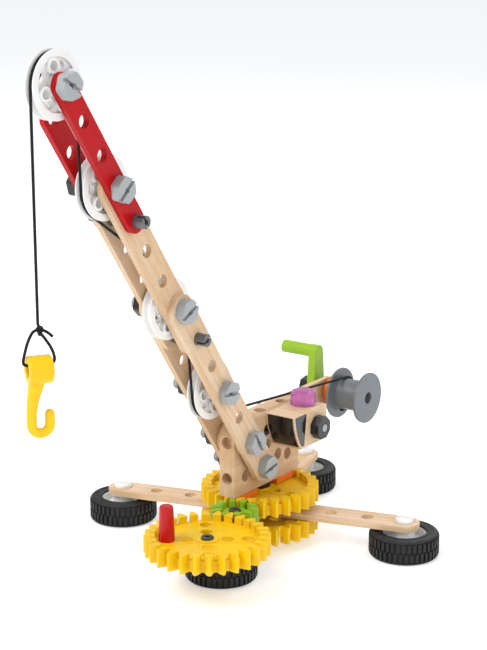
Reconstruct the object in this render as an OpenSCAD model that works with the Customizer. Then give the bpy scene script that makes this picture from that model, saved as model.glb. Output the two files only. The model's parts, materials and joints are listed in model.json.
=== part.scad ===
// Toy tower crane built from drilled wooden strips, plastic gears and wheels.
// The origin is on the floor below the slew axis. X runs along the long outrigger.
// On the superstructure, u points the way the boom leans and s points to the cab side.

/* [Grid] */
// Spacing of the holes in every strip
pitch = 25; // [23:0.5:30]
// Diameter of every hole
hole_d = 8; // [6.5:0.1:9]
// Radial clearance of a shaft in a hole
fit_gap = 0.08; // [0.02:0.01:0.1]
// Gap between pieces that turn or slide past each other
run_gap = 0.3; // [0.2:0.05:0.4]

/* [Strips] */
// Width of the plain wooden strips
strip_w = 20; // [16:0.5:22]
// Width of the red strips
red_w = 14.6; // [12:0.2:18]
// Thickness of every strip
strip_t = 4; // [3.4:0.1:5]
// Number of holes in each outrigger strip
outrigger_holes = 9; // [9:2:13]

/* [Wheels] */
// Outer diameter of the tyres
tyre_d = 46.2; // [38:0.2:50]
// Width of the tyres
tyre_w = 16.5; // [12:0.5:22]
// Diameter of the hub rim that the tyre sits on
rim_d = 35; // [31:0.5:36]
// Height of the hub boss above the tyre
boss_rise = 1.5; // [1:0.1:3]

/* [Gears] */
// Number of teeth on the large gears
gear_teeth = 28; // [26:1:30]
// Number of teeth on the pinion
pinion_teeth = 10; // [10:2:12]
// Height of the teeth
gear_h = 11.5; // [10:0.5:14]
// Height of the rim body below the free tooth tops
gear_body_h = 7.1; // [6:0.1:8]
// Thickness of the web
web_t = 3.4; // [2.5:0.1:4]
// Circumferential play of each tooth at the pitch circle
tooth_play = 0.5; // [0.3:0.05:0.7]
// Length of the red handle above its gear
handle_l = 22.8; // [16:0.2:23]

/* [Tower block] */
// Length of the block
block_l = 75; // [72:1:90]
// Thickness of the block
block_t = 12; // [10:0.5:14]
// Height of the block
block_h = 50; // [48:1:60]
// Height of the lowest row of holes above the bottom of the block
block_row = 12.4; // [12:0.1:14]

/* [Boom] */
// Lean of the boom above the horizontal
boom_lean = 55; // [50:1:60]
// Outer diameter of the guide pulleys
pulley_d = 38.4; // [34:0.2:40]
// Width of the guide pulleys
pulley_w = 9; // [7:0.5:9.2]
// Diameter of the bottom of the pulley groove
groove_d = 33.6; // [29:0.2:34]

/* [Cab] */
// Width of the cab beside the block
cab_w = 22.4; // [20:0.2:26]
// Height of the cab
cab_h = 24; // [22:0.5:26]

/* [Winch] */
// Diameter of the spool flanges
flange_d = 36; // [30:0.5:38]
// Diameter of the spool drum
drum_d = 22; // [18:0.5:24]
// Length of the spool over its flanges
spool_l = 24.5; // [20:0.5:30]
// Length of the crank arm between its axle and its peg
crank_l = 27; // [22:0.5:32]
// Length of the crank peg
peg_l = 24; // [18:0.5:30]

/* [Hoist] */
// Diameter of the cord
cord_d = 1.7; // [1.2:0.1:2]
// Height of the knot above the floor
knot_z = 190; // [170:1:220]
// Diameter of the hook's barrel
barrel_d = 16; // [14:0.5:18]
// Length of the hook's barrel
barrel_l = 13.8; // [12:0.2:18]

/* [Hidden] */
$fn = 64;

heading = 254;                 // way the boom leans, seen from above
eps = 0.01;
hole_r = hole_d / 2;
shaft_r = hole_r - fit_gap;
nut_bore_r = shaft_r + 0.04;
nut_t = 7;
head_t = 6;
head_d = 16.6;

// Base heights
long_z = tyre_w + boss_rise + run_gap;
cross_z = long_z + strip_t;
deck_z = cross_z + strip_t;
outrigger_end = (outrigger_holes - 1) / 2 * pitch;
front_wheel_y = -3 * pitch;
pinion_y = -2 * pitch;
drive_y = -4 * pitch;
bolt_head_h = 3;
bolt_head_d = 12;

// Gears: two large gears and the pinion between them on a straight line of holes
gear_module = 4 * pitch / (gear_teeth + pinion_teeth);
gear_z = deck_z + run_gap;
web_top = gear_z + gear_body_h;
ring_top = web_top + 0.6;
hub_top = ring_top + 0.6;
gear_top = gear_z + gear_h;
pressure = 25;
gear_step = 360 / gear_teeth;
mesh_shift = heading + gear_step - 270;   // tooth of the upper gear nearest the pinion
pinion_turn = 90 - gear_teeth / pinion_teeth * mesh_shift + 180 / pinion_teeth;
drive_turn = 90 + mesh_shift - 5 * gear_step;
handle_arm = drive_turn + 180;
arm_ring_r = [pitch / 2, pitch];

// Superstructure
block_z = gear_top + 0.1;
block_top = block_z + block_h;
half_t = block_t / 2;
row_z = block_z + block_row;
top_row_z = row_z + pitch;
spacer_t = 3;
outer_s = half_t + spacer_t;             // inner face of the outer strips
face_s = outer_s + strip_t;              // outer face of the outer strips
inner_s = outer_s - strip_t;             // inner face of the inner strips
boom_foot = [13.2, row_z + 4.65];       // lowest bolt of the boom
boom_u = function (k) boom_foot[0] + (13 - k) * pitch * cos(boom_lean);
boom_z = function (k) boom_foot[1] + (13 - k) * pitch * sin(boom_lean);
pulley_r = groove_d / 2 + cord_d / 2 + 0.25;  // radius of the cord's centre line on a pulley
pulley_k = [0, 3, 7, 10];
tip_s = pulley_w / 2 + 0.2 - outer_s;    // middle of the top pulley, against the near strip

// Cab and winch
cab_s = half_t + 0.05;
cab_u = [-37.5, -16.2, 2];
cab_curve_r = 45;
cab_z = block_top - cab_h;
cab_bolt_u = -pitch;
cap_u = -28;
winch_u = -4 * pitch;
arm_s = -outer_s;                        // near face of the winch arm
washer_t = 7.5;
spool_s = arm_s + run_gap + washer_t + 0.05;
crank_s = arm_s - strip_t - run_gap;
crank_boss = 4.7;
crank_t = 6;
wrap_r = drum_d / 2 + cord_d / 2 + 0.15;

// Hoist
fall_u = boom_u(0) + pulley_r;
hook_turn = 147.4;
barrel_z = knot_z - 22;

// ---------- shared shapes ----------

// Places a piece of the superstructure
module upper() rotate([0, 0, heading]) children();

// Cylinder that runs along s from s0 to s1
module bar(u, z, s0, s1, r)
    translate([u, s0, z]) rotate([-90, 0, 0]) cylinder(h = s1 - s0, r = r);

// Hexagon or octagon prism that runs along s from s0 to s1
module prism(u, z, s0, s1, d, sides, turn = 0)
    translate([u, s0, z]) rotate([-90, 0, 0]) rotate([0, 0, turn])
        cylinder(h = s1 - s0, d = d, $fn = sides);

// Round-ended strip on the XY plane, its first hole at the origin
module strip(holes, width = strip_w) {
    span = (holes - 1) * pitch;
    difference() {
        linear_extrude(strip_t) {
            circle(d = width);
            translate([0, -width / 2]) square([span, width]);
            translate([span, 0]) circle(d = width);
        }
        for (i = [0 : holes - 1])
            translate([i * pitch, 0, -eps]) cylinder(h = strip_t + 2 * eps, r = hole_r);
    }
}

// Boom strip between boom holes k0 and k1, its inner or far face at s
module boom_strip(k0, k1, s, width = strip_w)
    upper() translate([boom_u(k1), s, boom_z(k1)]) rotate([0, -boom_lean, 0])
        rotate([-90, 0, 0]) strip(k1 - k0 + 1, width);

// Half angle of a tooth at radius r, for a gear with the given number of teeth
function unroll(r, base) = let (a = acos(min(1, base / r))) tan(a) * 180 / PI - a;
function half_angle(r, teeth) =
    let (p = teeth * gear_module / 2, base = p * cos(pressure))
    90 / teeth - tooth_play / p * 45 / PI + unroll(p, base) - unroll(max(r, base), base);

// One tooth outline with a rounded tip, from radius r0 to r1, centred on the X axis
module tooth_outline(teeth, r0, r1, steps = 4, tip_round = 0.8) {
    flank_r = r1 - tip_round;
    flank = [for (i = [0 : steps]) let (r = r0 + (flank_r - r0) * i / steps) [r, half_angle(r, teeth)]];
    tip = [for (a = [30 : 30 : 90])
        [flank_r + tip_round * sin(a),
            half_angle(flank_r, teeth) - tip_round * (1 - cos(a)) / r1 * 180 / PI]];
    low = [for (p = concat(flank, tip)) p[0] * [cos(p[1]), -sin(p[1])]];
    high = [for (i = [len(low) - 1 : -1 : 0]) [low[i][0], -low[i][1]]];
    polygon(concat(low, high));
}

// Large gear standing on the XY plane: free tooth tops over a recessed web with a raised cross
module large_gear() {
    root_r = gear_module * (gear_teeth / 2 - 1.08);
    tip_r = gear_module * (gear_teeth / 2 + 1.01);
    rim_r = root_r - 2;
    web_z = gear_body_h - web_t;
    ring_z = gear_body_h + 0.6;
    difference() {
        union() {
            for (i = [0 : gear_teeth - 1])
                rotate([0, 0, i * gear_step]) linear_extrude(gear_h)
                    tooth_outline(gear_teeth, rim_r + 0.4, tip_r);
            difference() {
                cylinder(h = gear_body_h, r = root_r);
                translate([0, 0, -eps]) cylinder(h = web_z + eps, r = rim_r);
            }
            cylinder(h = hub_top - gear_z, r = 6.8);
            for (i = [0 : 1])
                rotate([0, 0, i * 90]) translate([-rim_r, -5.2, web_z])
                    cube([2 * rim_r, 10.4, web_t + 0.3]);
            for (i = [0 : 3], r = arm_ring_r)
                rotate([0, 0, i * 90]) translate([r, 0, web_z])
                    cylinder(h = ring_z - web_z, r = 5);
        }
        for (i = [0 : 3], r = arm_ring_r)
            rotate([0, 0, i * 90]) translate([r, 0, -eps])
                cylinder(h = ring_z + 2 * eps, r = hole_r);
        translate([0, 0, -eps]) cylinder(h = gear_h, r = hole_r);
    }
}

// Slotted hexagonal head with a small centre hole, lying from s0 outwards by head_t
slot_w = 2.3;
slot_depth = 2;
module bolt_head(u, z, s0, turn, slot_turn)
    difference() {
        intersection() {
            prism(u, z, s0, s0 + head_t, head_d, 6, turn);
            bar(u, z, s0 - eps, s0 + head_t + eps, head_d / 2 - 0.45);
        }
        translate([u, s0 + head_t, z]) rotate([0, slot_turn, 0])
            cube([head_d, 2 * slot_depth, slot_w], center = true);
        bar(u, z, s0 + 1, s0 + head_t + eps, 1.75);
    }

// Split pin along +Z: a flat head below z = 0 and a slotted shaft of the given length
module split_pin(length, head_h = 2.5, head_r = 5)
    difference() {
        union() {
            translate([0, 0, -head_h]) cylinder(h = head_h, r = head_r);
            cylinder(h = length, r = shaft_r);
        }
        translate([-head_r, -0.8, length - 6]) cube([2 * head_r, 1.6, 6 + eps]);
        translate([0, 0, -head_h - eps]) cylinder(h = length + head_h + 2 * eps, r = 1.6);
    }

// Tube swept along a list of points, with one radius or one for each point
function unit(v) = v / norm(v);
function heading_at(p, i) =
    unit(p[min(i + 1, len(p) - 1)] - p[max(i - 1, 0)]);
module swept(points, r, sides = 8) {
    n = len(points);
    rings = [for (i = [0 : n - 1])
        let (t = heading_at(points, i),
            a = unit(cross(t, abs(t[1]) < 0.9 ? [0, 1, 0] : [1, 0, 0])),
            b = cross(t, a))
        for (j = [0 : sides - 1])
            points[i] + (is_list(r) ? r[i] : r)
                * (cos(360 * j / sides) * a + sin(360 * j / sides) * b)];
    walls = [for (i = [0 : n - 2], j = [0 : sides - 1])
        let (k = (j + 1) % sides)
        [i * sides + j, (i + 1) * sides + j, (i + 1) * sides + k, i * sides + k]];
    foot = [for (j = [0 : sides - 1]) j];
    head = [for (j = [sides - 1 : -1 : 0]) (n - 1) * sides + j];
    polyhedron(rings, concat([foot], [head], walls), convexity = 8);
}

// Cord route over the pulleys: tangent angles follow from the centres and radii
centre = function (i) [boom_u(pulley_k[i]), boom_z(pulley_k[i])];
slope = function (a, b) atan2(b[1] - a[1], b[0] - a[0]);
cross_lean = function (a, b, r) asin(r / norm(b - a));
drum_at = [winch_u, top_row_z];
line_1 = slope(drum_at, centre(3)) - cross_lean(drum_at, centre(3), wrap_r + pulley_r);
line_2 = boom_lean + cross_lean(centre(3), centre(2), 2 * pulley_r);
line_3 = boom_lean - cross_lean(centre(2), centre(1), 2 * pulley_r);
line_4 = boom_lean + cross_lean(centre(1), centre(0), 2 * pulley_r);
winding_l = 2.55;                       // width of the cord wound on the drum
start_s = spool_s + 2.35 + winding_l + cord_d / 2;
function arc(c, r, a0, a1, s, n) =
    [for (i = [0 : n]) let (a = a0 + (a1 - a0) * i / n) [c[0] + r * cos(a), s, c[1] + r * sin(a)]];
run_points = concat(
    [[drum_at[0] - wrap_r * sin(line_1), start_s, drum_at[1] + wrap_r * cos(line_1)]],
    arc(centre(3), pulley_r, line_1 - 90, line_2 - 90, 0, 6),
    arc(centre(2), pulley_r, line_2 + 90, line_3 + 90, 0, 4),
    arc(centre(1), pulley_r, line_3 - 90, line_4 - 90, 0, 4),
    arc(centre(0), pulley_r, line_4 + 90, 0, -tip_s, 12));

// Loop and tail in the hook's own plane: distance along the barrel, height above its middle
loop_points = [[0, 2.9], [4, 2.9], [7.6, 3.1], [8.8, 5], [8.3, 8.4], [6.8, 12], [4.8, 15.4],
    [2.8, 18.4], [1, 20.6], [-1, 22], [-3, 21.4], [-4.9, 18.4], [-6.6, 14], [-8, 9],
    [-8.8, 5], [-7.6, 3.1], [-4, 2.9], [-0.5, 2.9]];
tail_points = [[2.6, 21.6], [4.6, 20.8], [6.6, 19.4], [8.4, 17.6]];
fall_points = [[0, 26.4], [0, 25.8], [0.3, 24.9], [0.8, 24]];

// ---------- base ----------

module long_outrigger() color("burlywood")
    translate([-outrigger_end, 0, long_z]) strip(outrigger_holes);

module cross_outrigger() color("wheat")
    translate([0, -outrigger_end, cross_z]) rotate([0, 0, 90]) strip(outrigger_holes);

// Places a piece at each wheel: x, y and the height of the strip's underside
wheel_places = [[-outrigger_end, 0, long_z], [outrigger_end, 0, long_z],
    [0, front_wheel_y, cross_z], [0, outrigger_end, cross_z]];

module wheel_bolts() color("white")
    for (p = wheel_places) translate([p[0], p[1], 0]) difference() {
        union() {
            translate([0, 0, 1.6]) cylinder(h = p[2] + strip_t - 1.6, r = shaft_r);
            translate([0, 0, p[2] + strip_t]) cylinder(h = bolt_head_h - 0.8, d = bolt_head_d);
            translate([0, 0, p[2] + strip_t + bolt_head_h - 0.8])
                cylinder(h = 0.8, d1 = bolt_head_d, d2 = bolt_head_d - 1.6);
        }
        translate([-bolt_head_d / 2, -0.8, p[2] + strip_t + 1.2]) cube([bolt_head_d, 1.6, 2]);
    }

module wheel_nuts() color("whitesmoke")
    for (p = wheel_places) translate([p[0], p[1], 2]) difference() {
        cylinder(h = 4, d = 14, $fn = 6);
        translate([0, 0, -eps]) cylinder(h = 4 + 2 * eps, r = nut_bore_r);
    }

module wheel_spacers() color("white")
    for (y = [front_wheel_y, outrigger_end]) translate([0, y, long_z]) difference() {
        cylinder(h = strip_t, d = 14);
        translate([0, 0, -eps]) cylinder(h = strip_t + 2 * eps, r = nut_bore_r);
    }

lower_gear_z = long_z - run_gap - gear_h;
slew_head_top = lower_gear_z - run_gap;
module slew_bolt() color("silver") {
    bolt_top = hub_top + run_gap + 2.8;
    translate([0, 0, slew_head_top - 5]) difference() {
        cylinder(h = 5, d = head_d, $fn = 6);
        translate([-head_d / 2, -0.9, -eps]) cube([head_d, 1.8, 1.8]);
    }
    translate([0, 0, slew_head_top - 1]) cylinder(h = bolt_top - slew_head_top + 1, r = shaft_r);
}

module slew_nut() color("black") translate([0, 0, hub_top + run_gap]) difference() {
    cylinder(h = 2.5, d = 15, $fn = 6);
    translate([0, 0, -eps]) cylinder(h = 2.5 + 2 * eps, r = nut_bore_r);
}

module axle_pins() color("dimgray")
    for (y = [pinion_y, drive_y]) translate([0, y, cross_z])
        split_pin(hub_top + 1.4 - cross_z);

// Places a wheel piece at one of the four wheels
module wheel_at(i) translate([wheel_places[i][0], wheel_places[i][1], 0]) children();

tread_h = 1.1;
module tyre() color("black") rotate_extrude($fn = 96)
    polygon([[14.5, 0], [tyre_d / 2 - 3, 0], [tyre_d / 2 - 0.6, 1.4], [tyre_d / 2, 3],
        [tyre_d / 2, tyre_w / 2 - 0.6], [tyre_d / 2 - tread_h, tyre_w / 2 - 0.3],
        [tyre_d / 2 - tread_h, tyre_w / 2 + 0.3], [tyre_d / 2, tyre_w / 2 + 0.6],
        [tyre_d / 2, tyre_w - 3], [tyre_d / 2 - 0.6, tyre_w - 1.4], [tyre_d / 2 - 3, tyre_w],
        [14.5, tyre_w], [14.5, tyre_w - 1.6], [rim_d / 2 + 0.05, tyre_w - 1.6],
        [rim_d / 2 + 0.05, 1.6], [14.5, 1.6]]);

module hub() color("whitesmoke") difference() {
    rotate_extrude($fn = 96)
        polygon([[0, 7], [13.6, 7], [13.6, 1.7], [rim_d / 2, 1.7], [rim_d / 2, tyre_w - 1.7],
            [13.6, tyre_w - 1.7], [13.6, 10], [7, 10], [7, tyre_w + boss_rise],
            [0, tyre_w + boss_rise]]);
    translate([0, 0, -eps]) cylinder(h = tyre_w + boss_rise + 1, r = hole_r);
}

module tyre_left() wheel_at(0) tyre();
module tyre_right() wheel_at(1) tyre();
module tyre_front() wheel_at(2) tyre();
module tyre_back() wheel_at(3) tyre();
module hub_left() wheel_at(0) hub();
module hub_right() wheel_at(1) hub();
module hub_front() wheel_at(2) hub();
module hub_back() wheel_at(3) hub();

// ---------- gears ----------

module lower_gear() color("gold")
    translate([0, 0, lower_gear_z + gear_h]) mirror([0, 0, 1]) rotate([0, 0, heading]) large_gear();

module drive_gear() color("gold")
    translate([0, drive_y, gear_z]) rotate([0, 0, drive_turn]) large_gear();

module upper_gear() color("gold")
    translate([0, 0, gear_z]) rotate([0, 0, heading]) large_gear();

module pinion() color("limegreen") {
    tip_r = gear_module * (pinion_teeth / 2 + 0.93);
    root_r = tip_r - 5.4;
    translate([0, pinion_y, gear_z]) difference() {
        union() {
            for (i = [0 : pinion_teeth - 1])
                rotate([0, 0, pinion_turn + i * 360 / pinion_teeth]) linear_extrude(gear_h)
                    tooth_outline(pinion_teeth, root_r - 0.6, tip_r);
            cylinder(h = gear_body_h, r = root_r);
            cylinder(h = hub_top - gear_z, r = 7);
        }
        translate([0, 0, -eps]) cylinder(h = gear_h, r = hole_r);
    }
}

module drive_handle() color("red")
    translate([0, drive_y, 0]) rotate([0, 0, handle_arm]) translate([pitch, 0, 0]) {
        translate([0, 0, web_top - web_t]) cylinder(h = web_t + 1, r = shaft_r);
        translate([0, 0, ring_top + 0.05]) cylinder(h = handle_l - 0.8, r1 = 5.2, r2 = 4.3);
        translate([0, 0, ring_top + handle_l - 0.75]) cylinder(h = 0.7, r1 = 4.3, r2 = 3.6);
    }

// ---------- tower ----------

module coupling_plates() color("orange") upper() {
    for (span = [[12, 31], [-31, -10.5]]) {
        translate([span[0], -7, ring_top + 0.05])
            cube([span[1] - span[0], 14, block_z - ring_top - 0.1]);
        side = span[0] > 0 ? pitch : -pitch;
        translate([side, 0, web_top - web_t]) cylinder(h = block_z - web_top + web_t + 5, r = shaft_r);
    }
}

block_holes = [[pitch, 0], [0, pitch], [-pitch, pitch], [0, 14.5], [-12.5, 4.6], [-24, 2]];
module tower_block() color("tan") upper() difference() {
    translate([-block_l / 2, -half_t, block_z]) intersection() {
        cube([block_l, block_t, block_h]);
        union() {
            cube([block_l - 11, block_t, block_h]);
            cube([block_l, block_t, block_h - 11]);
            translate([block_l - 11, -eps, block_h - 11]) rotate([-90, 0, 0])
                cylinder(h = block_t + 2 * eps, r = 11);
        }
    }
    for (p = block_holes) bar(p[0], row_z + p[1], -half_t - eps, half_t + eps, hole_r);
    for (k = [12, 13]) bar(boom_u(k), boom_z(k), -half_t - eps, half_t + eps, hole_r);
    for (u = [-pitch, pitch]) translate([u, 0, block_z - eps]) cylinder(h = 7, r = hole_r);
    for (u = [-pitch, 0]) translate([u, 0, block_top - 7]) cylinder(h = 7 + eps, r = hole_r);
    translate([block_l / 2 - 7, 0, row_z]) rotate([0, 90, 0]) cylinder(h = 7 + eps, r = hole_r);
    translate([block_l / 2 - 4.5, 0, top_row_z - 0.5]) rotate([0, 90, 0])
        cylinder(h = 5, r = hole_r);
}

// ---------- boom ----------

module near_lower_strip() color("burlywood") boom_strip(7, 13, outer_s);
module near_middle_strip() color("wheat") boom_strip(3, 8, inner_s);
module near_red_strip() color("crimson") boom_strip(0, 4, outer_s, red_w);
module far_lower_strip() color("burlywood") boom_strip(7, 13, -face_s);
module far_middle_strip() color("wheat") boom_strip(3, 8, -outer_s);
module far_red_strip() color("crimson") boom_strip(1, 4, -face_s, red_w);

// Boom holes with a bolt, and how far each bolt reaches on the far side
bolt_k = [0, 3, 7, 10, 12, 13];
slot_turns = [-32, 42, 26, -5, -60, 12];
tip_nut_s = -tip_s - pulley_w / 2 - run_gap;  // near face of the top nut
function nut_face(k) = k == 0 ? tip_nut_s : -face_s;
function bolt_end(k) = nut_face(k) - nut_t - (k == 3 ? -1 : k == 0 ? 1.2 : k == 7 ? 4 : 6);

module boom_bolts() color("silver") upper() for (i = [0 : len(bolt_k) - 1]) {
    k = bolt_k[i];
    bolt_head(boom_u(k), boom_z(k), face_s, 12 + 9 * k, slot_turns[i]);
    bar(boom_u(k), boom_z(k), bolt_end(k), face_s + 0.5, shaft_r);
}

module boom_nuts() color("black") upper() for (k = bolt_k) difference() {
    intersection() {
        prism(boom_u(k), boom_z(k), nut_face(k) - nut_t, nut_face(k), head_d, 6, 25 + 7 * k);
        bar(boom_u(k), boom_z(k), nut_face(k) - nut_t - eps, nut_face(k) + eps, head_d / 2 - 0.45);
    }
    bar(boom_u(k), boom_z(k), nut_face(k) - nut_t - 1, nut_face(k) + 1, nut_bore_r);
}

module strip_pins() color("gray") upper() for (k = [4, 8], side = [0, 1])
    mirror([0, side, 0]) translate([boom_u(k), inner_s, boom_z(k)])
        rotate([-90, 0, 0]) rotate([0, 0, 40 + 20 * k]) split_pin(2 * strip_t + 7.5, 2.2);

module block_spacers() color("peru") upper() for (k = [12, 13], s = [half_t, -outer_s])
    difference() {
        bar(boom_u(k), boom_z(k), s, s + spacer_t, 9.3);
        bar(boom_u(k), boom_z(k), s - eps, s + spacer_t + eps, hole_r);
    }

gap_4 = outer_s - pulley_w / 2 - run_gap;
module pulley_spacers() color("white") upper() {
    ends = [[10, outer_s - gap_4, outer_s], [10, -outer_s, gap_4 - outer_s]];
    for (e = ends) difference() {
        bar(boom_u(e[0]), boom_z(e[0]), e[1], e[2], 5.6);
        bar(boom_u(e[0]), boom_z(e[0]), e[1] - eps, e[2] + eps, hole_r);
    }
}

// Guide pulley on its own axis along Z, centred on the XY plane
rim_t = 6.4;
module pulley_shape() color("white") {
    rotate_extrude($fn = 96)
        polygon([[15, -rim_t / 2], [pulley_d / 2, -rim_t / 2], [pulley_d / 2, -rim_t / 2 + 0.8],
            [groove_d / 2, -1.3], [groove_d / 2, 1.3], [pulley_d / 2, rim_t / 2 - 0.8],
            [pulley_d / 2, rim_t / 2], [15, rim_t / 2]]);
    difference() {
        union() {
            translate([0, 0, -1.5]) cylinder(h = 3, r = 15.2);
            translate([0, 0, -pulley_w / 2]) cylinder(h = pulley_w, r = 6.4);
            for (i = [0 : 3]) rotate([0, 0, 90 * i]) translate([11.2, 0, -pulley_w / 2])
                cylinder(h = pulley_w, r = 4.2);
        }
        translate([0, 0, -pulley_w]) cylinder(h = 2 * pulley_w, r = hole_r);
        for (i = [0 : 3]) rotate([0, 0, 90 * i]) translate([11.2, 0, -pulley_w])
            cylinder(h = 2 * pulley_w, r = 2.9);
        for (i = [0 : 3]) rotate([0, 0, 90 * i + 45]) translate([10.8, 0, -pulley_w])
            cylinder(h = 2 * pulley_w, r = 2.9);
    }
}
module pulley(i, s) upper() translate([centre(i)[0], s, centre(i)[1]]) rotate([-90, 0, 0])
    rotate([0, 0, 20 + 25 * i]) pulley_shape();
module pulley_1() pulley(0, -tip_s);
module pulley_2() pulley(1, 0);
module pulley_3() pulley(2, 0);
module pulley_4() pulley(3, 0);

// ---------- cab ----------

// Side outline of the cab front between two distances behind its curved face
module front_outline(depth0, depth1) {
    top = [cab_u[2], cab_h];
    foot = [cab_u[2] - 8, 1];
    half = (top - foot) / 2;
    back = sqrt(cab_curve_r ^ 2 - norm(half) ^ 2) / norm(half);
    arc_c = foot + half + back * [-half[1], half[0]];
    intersection() {
        difference() {
            translate(arc_c) circle(r = cab_curve_r - depth0, $fn = 128);
            translate(arc_c) circle(r = cab_curve_r - depth1, $fn = 128);
        }
        translate([cab_u[1] + 0.05, 0]) square([cab_u[2] - cab_u[1] + 8, cab_h]);
    }
}
// Turns an outline in u and height into a solid from s0 to s1
module side_extrude(s0, s1) translate([0, s1, cab_z]) rotate([90, 0, 0])
    linear_extrude(s1 - s0) children();

window_t = 0.7;
pane_gap = 0.05;
screen_frame = 1.2;                     // wooden edge beside the windscreen
side_frame = 1.8;                       // wooden edge in front of the side window
pane_z = [1.6, cab_h - 0.9];            // bottom and top of every window, above the cab's floor
side_back = [-10.6, -13.2];             // back edge of the side window, at its bottom and its top

// Outlines of the windscreen band and the side window, drawn in by gap all round
module screen_outline(depth0, depth1, gap) intersection() {
    front_outline(depth0, depth1);
    translate([cab_u[1], pane_z[0] + gap])
        square([cab_u[2] - cab_u[1] + 2, pane_z[1] - pane_z[0] - 2 * gap]);
}
module side_outline(gap) intersection() {
    front_outline(side_frame + gap, cab_u[2] - cab_u[1] + 10);
    polygon([[side_back[0] + gap, pane_z[0] + gap], [cab_u[2] + 2, pane_z[0] + gap],
        [cab_u[2] + 2, pane_z[1] - gap], [side_back[1] + gap, pane_z[1] - gap]]);
}

module cab_front() color("wheat") upper() difference() {
    side_extrude(cab_s, cab_s + cab_w) front_outline(0, 30);
    side_extrude(cab_s + screen_frame, cab_s + cab_w - screen_frame)
        screen_outline(-1, window_t + pane_gap, 0);
    side_extrude(cab_s + cab_w - window_t, cab_s + cab_w + 1) side_outline(0);
}

module cab_windows() color("black") upper() {
    side_extrude(cab_s + screen_frame + pane_gap, cab_s + cab_w - screen_frame - pane_gap)
        screen_outline(0, window_t, pane_gap);
    side_extrude(cab_s + cab_w - window_t + pane_gap, cab_s + cab_w) side_outline(pane_gap);
}

module cab_body() color("tan") upper() difference() {
    translate([cab_u[0], cab_s, cab_z]) cube([cab_u[1] - cab_u[0], cab_w, cab_h]);
    bar(cab_bolt_u, top_row_z, cab_s - 1, cab_s + cab_w + 1, hole_r);
    translate([cap_u, cab_s + 9.8, block_top - 6]) cylinder(h = 7, r = hole_r);
}

cab_face = cab_s + cab_w;
cap_bore_r = 2.6;                       // small opening in the end of the cab's cap nut
module cab_bolt() color("silver") upper() {
    mirror([0, 1, 0]) bolt_head(cab_bolt_u, top_row_z, face_s, 20, 60);
    bar(cab_bolt_u, top_row_z, -face_s - 0.5, cab_face + 5.3, shaft_r);
    bar(cab_bolt_u, top_row_z, cab_face + 5, cab_face + 6.9, cap_bore_r - fit_gap);
}

module cab_nut() color("black") upper() difference() {
    prism(cab_bolt_u, top_row_z, cab_face, cab_face + 6.5, 16, 8, 22.5);
    bar(cab_bolt_u, top_row_z, cab_face - 1, cab_face + 5.4, nut_bore_r);
    bar(cab_bolt_u, top_row_z, cab_face + 5, cab_face + 7, cap_bore_r);
}

module lamp_cap() color("hotpink", 0.7) upper() translate([cap_u, cab_s + 9.8, block_top]) {
    translate([0, 0, 0.02]) cylinder(h = 9.2, d1 = 18.4, d2 = 17, $fn = 8);
    translate([0, 0, 9]) cylinder(h = 1.5, d = 11);
    translate([0, 0, -5]) cylinder(h = 6, r = shaft_r);
}

// ---------- winch ----------

module winch_arm() color("burlywood") upper() {
    translate([winch_u, arm_s - strip_t, top_row_z]) rotate([-90, 0, 0]) strip(5);
    for (u = [0, -pitch]) difference() {
        bar(u, top_row_z, arm_s + 0.02, -half_t - 0.02, 9.3);
        bar(u, top_row_z, arm_s - 1, 1 - half_t, hole_r);
    }
}

module arm_pin() color("dimgray") upper() translate([0, arm_s - strip_t, top_row_z])
    rotate([-90, 0, 0]) split_pin(strip_t + spacer_t + block_t - 1, 2.2);

module spool() color("slategray") upper() translate([winch_u, spool_s, top_row_z])
    rotate([-90, 0, 0]) difference() {
        union() {
            cylinder(h = 2, d = flange_d);
            cylinder(h = spool_l, d = drum_d);
            translate([0, 0, spool_l - 2]) cylinder(h = 2, d = flange_d);
        }
        translate([0, 0, -eps]) cylinder(h = spool_l + 2 * eps, r = hole_r);
    }

module spool_washer() color("orange") upper() difference() {
    bar(winch_u, top_row_z, arm_s + run_gap, spool_s - 0.05, 10);
    bar(winch_u, top_row_z, arm_s, spool_s, nut_bore_r);
}

module crank() color("limegreen") upper() translate([winch_u, 0, top_row_z]) {
    boss_s = crank_s - crank_boss;
    difference() {
        union() {
            bar(0, 0, boss_s, crank_s, 7.2);
            bar(0, 0, boss_s - crank_t, boss_s, 8.2);
            translate([0, boss_s, 0]) rotate([90, 0, 0]) linear_extrude(crank_t)
                polygon([[-7, 3], [7, 3], [5, crank_l], [-5, crank_l]]);
            bar(0, crank_l, boss_s - crank_t, boss_s, 5);
            bar(0, crank_l, boss_s - crank_t - peg_l, boss_s - 1, 4.6);
        }
        bar(0, 0, boss_s - crank_t - 1, crank_s + 1, nut_bore_r);
    }
}

axle_end = crank_s - crank_boss - crank_t;
module winch_axle() color("dimgray") upper() {
    bar(winch_u, top_row_z, axle_end - nut_t - 0.6, spool_s + 13, shaft_r);
}

module winch_nut() color("black") upper() difference() {
    prism(winch_u, top_row_z, axle_end - nut_t, axle_end, 15, 6, 10);
    bar(winch_u, top_row_z, axle_end - nut_t - 1, axle_end + 1, nut_bore_r);
}

// ---------- hoist ----------

module cord_windings() color("dimgray") upper() translate([winch_u, spool_s + 2.05, top_row_z])
    rotate([-90, 0, 0]) rotate_extrude()
        polygon([[drum_d / 2 + 0.05, 0], [wrap_r + cord_d / 2, 0], [wrap_r + cord_d / 2, winding_l],
            [drum_d / 2 + 0.05, winding_l]]);

module cord_run() color("dimgray") upper() swept(run_points, cord_d / 2);

module in_hook_plane() upper() translate([fall_u, -tip_s, barrel_z]) rotate([0, 0, hook_turn])
    children();

module cord_fall() color("dimgray") upper() translate([fall_u, -tip_s, barrel_z + 26.5])
    cylinder(h = boom_z(0) - barrel_z - 26.65, r = cord_d / 2, $fn = 16);

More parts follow.
